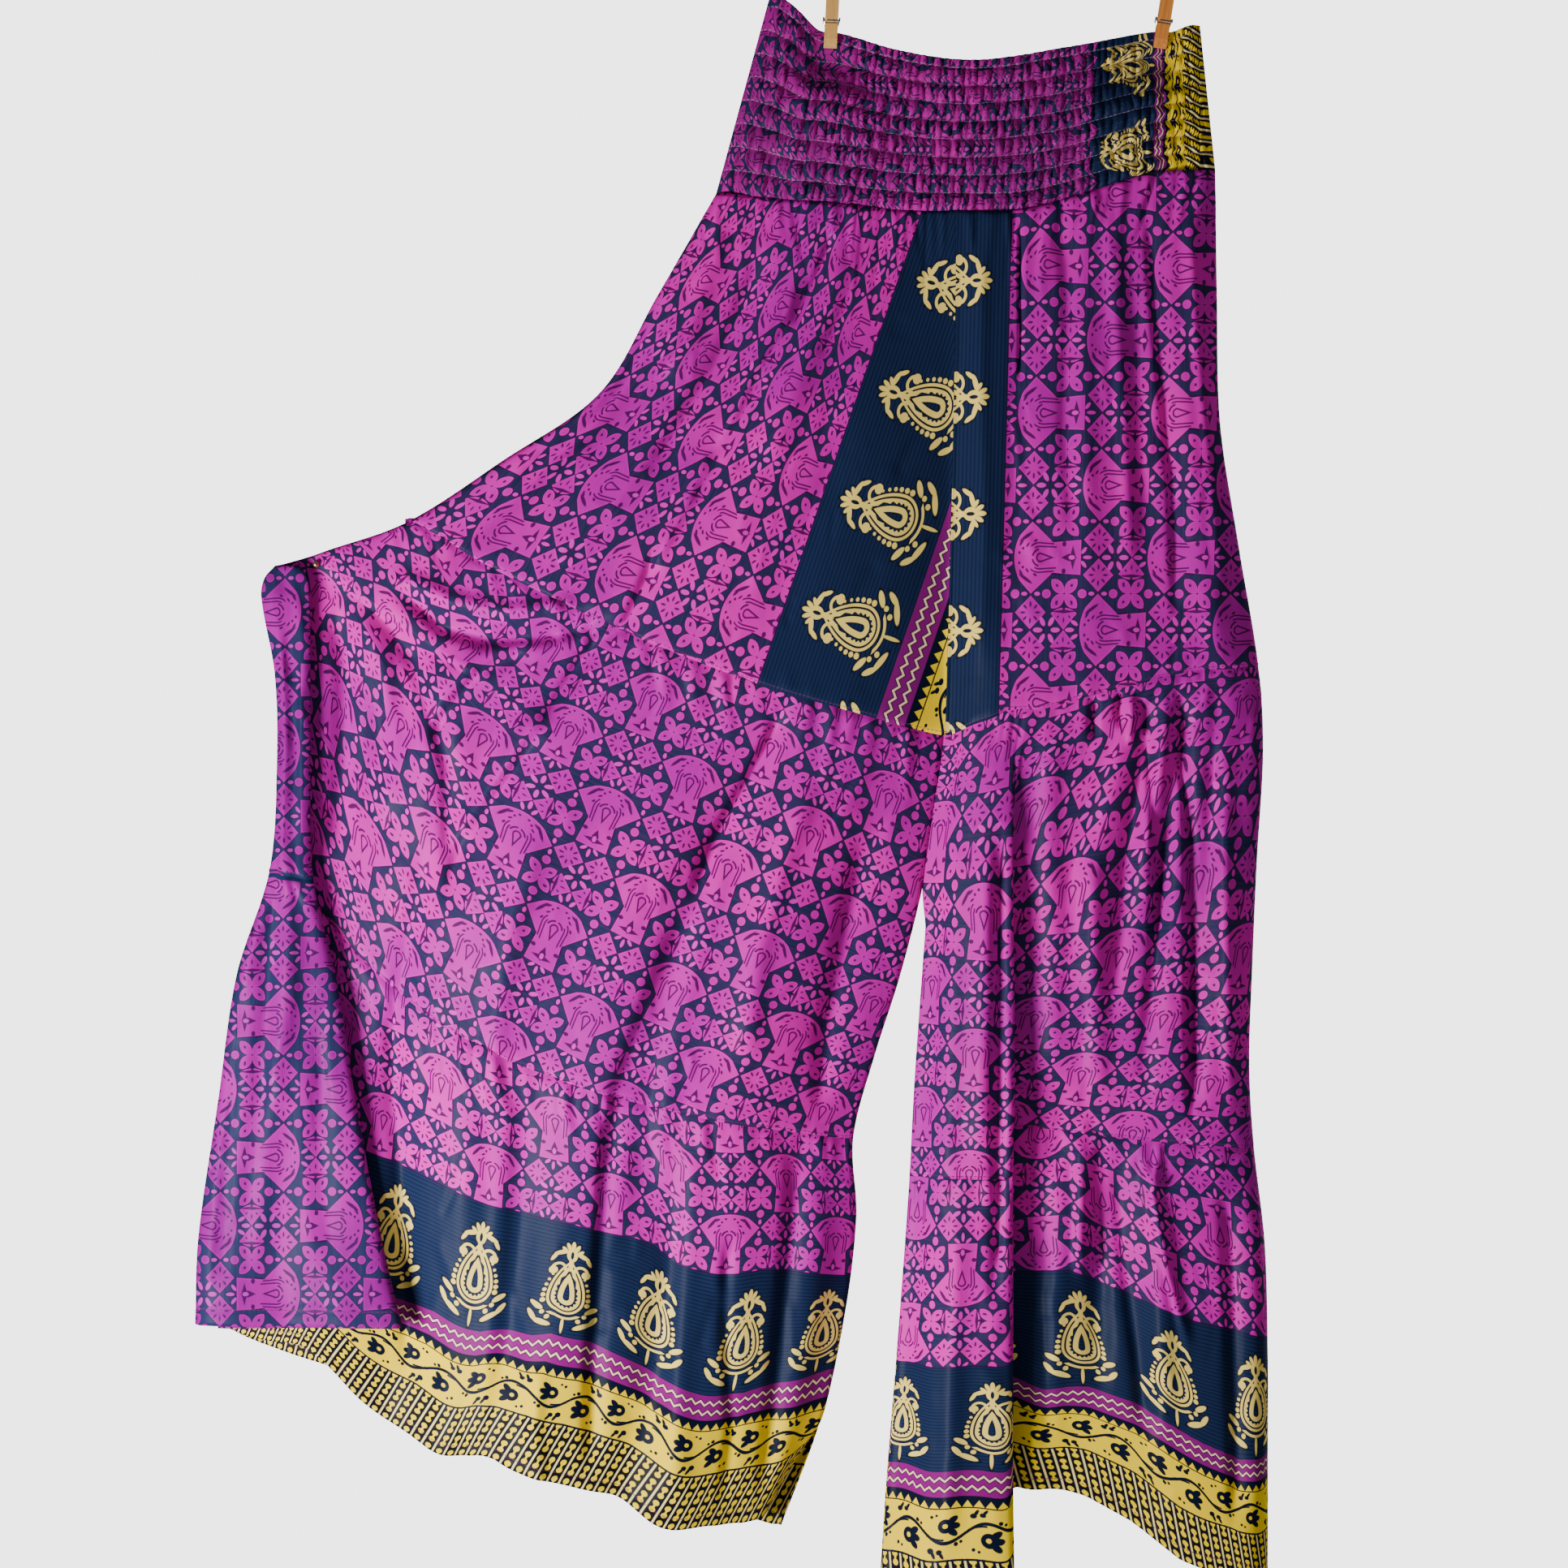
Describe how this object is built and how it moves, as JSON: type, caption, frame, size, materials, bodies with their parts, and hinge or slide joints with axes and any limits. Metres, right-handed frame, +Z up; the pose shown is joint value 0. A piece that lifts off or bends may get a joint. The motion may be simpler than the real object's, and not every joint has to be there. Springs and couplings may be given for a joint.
{
  "type": "palazzo pants hung from two clothes pegs with one leg pinned out",
  "caption": "Tiered wide-leg palazzo pants with a smocked waistband, hanging flat from wooden clothes pegs, one leg swept out sideways and held by a pin.",
  "frame": {"origin": "midway between the upper ends of the two clothes pegs", "axes": "+X to the viewer's right along the waist, +Y away from the viewer, +Z up"},
  "size_m": [0.6998, 0.0691, 1.0739],
  "materials": {
    "printed_cloth": "thin art silk with a soft sheen",
    "smocked_cloth": "thin art silk, shirred",
    "peg_wood": "raw wood",
    "spring_steel": "drawn wire",
    "pin_brass": "polished"
  },
  "bodies": {
    "root": {"hip_left_front": "printed_cloth", "hip_left_back": "printed_cloth", "hip_right_front": "printed_cloth", "hip_right_back": "printed_cloth", "mid_left_front": "printed_cloth", "mid_left_back": "printed_cloth", "mid_left_side": "printed_cloth", "mid_right_front": "printed_cloth", "mid_right_back": "printed_cloth", "hem_left_front": "printed_cloth", "hem_left_back": "printed_cloth", "hem_left_side": "printed_cloth", "hem_right_front": "printed_cloth", "hem_right_back": "printed_cloth", "waistband_front": "smocked_cloth", "waistband_back": "smocked_cloth", "peg_left_front": "peg_wood", "peg_left_back": "peg_wood", "peg_left_spring": "spring_steel", "peg_right_front": "peg_wood", "peg_right_back": "peg_wood", "peg_right_spring": "spring_steel", "wall_pin": "pin_brass"}
  },
  "joints": []
}
